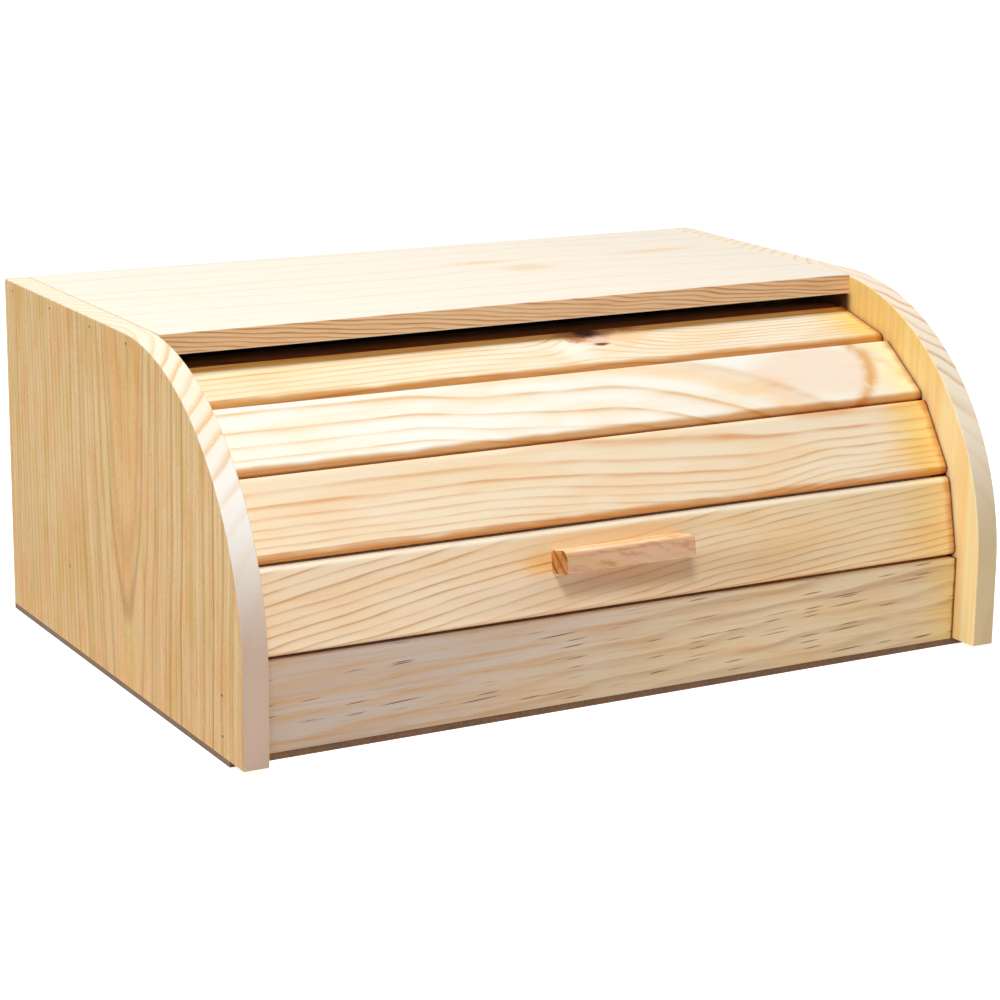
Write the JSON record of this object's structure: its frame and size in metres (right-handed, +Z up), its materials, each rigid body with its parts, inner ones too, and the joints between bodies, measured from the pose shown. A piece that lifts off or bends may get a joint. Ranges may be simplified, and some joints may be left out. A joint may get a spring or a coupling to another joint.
{
  "type": "roll-top bread box",
  "caption": "Low pine bread box with curved side boards and a roll-top door of wooden slats, opened by a small bar handle.",
  "frame": {"origin": "bottom centre of the whole box's bounding box, on the underside of the bottom board, where the box rests", "axes": "+X along the slats, to the box's right as seen from its front; +Y to the back panel, so the door faces -Y; +Z up"},
  "size_m": [0.4, 0.284, 0.1696],
  "materials": {
    "pine_sides": "planed pine, unfinished, grain upright",
    "pine_top": "planed pine, unfinished, grain from side to side",
    "pine_rail": "planed pine, unfinished, grain from side to side",
    "pine_slats": "planed pine, unfinished, grain along the slats",
    "pine_handle": "sanded softwood, unfinished, grain along the bar",
    "thin_board": "brown hardboard, smooth face out",
    "canvas": "unbleached cotton canvas, plain weave",
    "steel_brads": "dulled steel",
    "screw_steel": "zinc-plated steel"
  },
  "bodies": {
    "case": {"left_side": "pine_sides", "right_side": "pine_sides", "top_board": "pine_top", "front_rail": "pine_rail", "bottom_board": "thin_board", "back_panel": "thin_board", "left_top_brads": "steel_brads", "right_top_brads": "steel_brads", "left_rail_brads": "steel_brads", "right_rail_brads": "steel_brads", "back_panel_brads": "steel_brads", "bottom_board_brads": "steel_brads"},
    "door": {"slat_1": "pine_slats", "slat_2": "pine_slats", "slat_3": "pine_slats", "slat_4": "pine_slats", "slat_5": "pine_slats", "canvas_backing": "canvas", "handle": "pine_handle", "handle_screws": "screw_steel"}
  },
  "joints": [
    {"name": "door_roll", "type": "hinge", "parent": "case", "child": "door", "pos_m": [0, -0.015, 0.0426], "axis": [-1, 0, 0], "range_deg": [0, 66]}
  ]
}
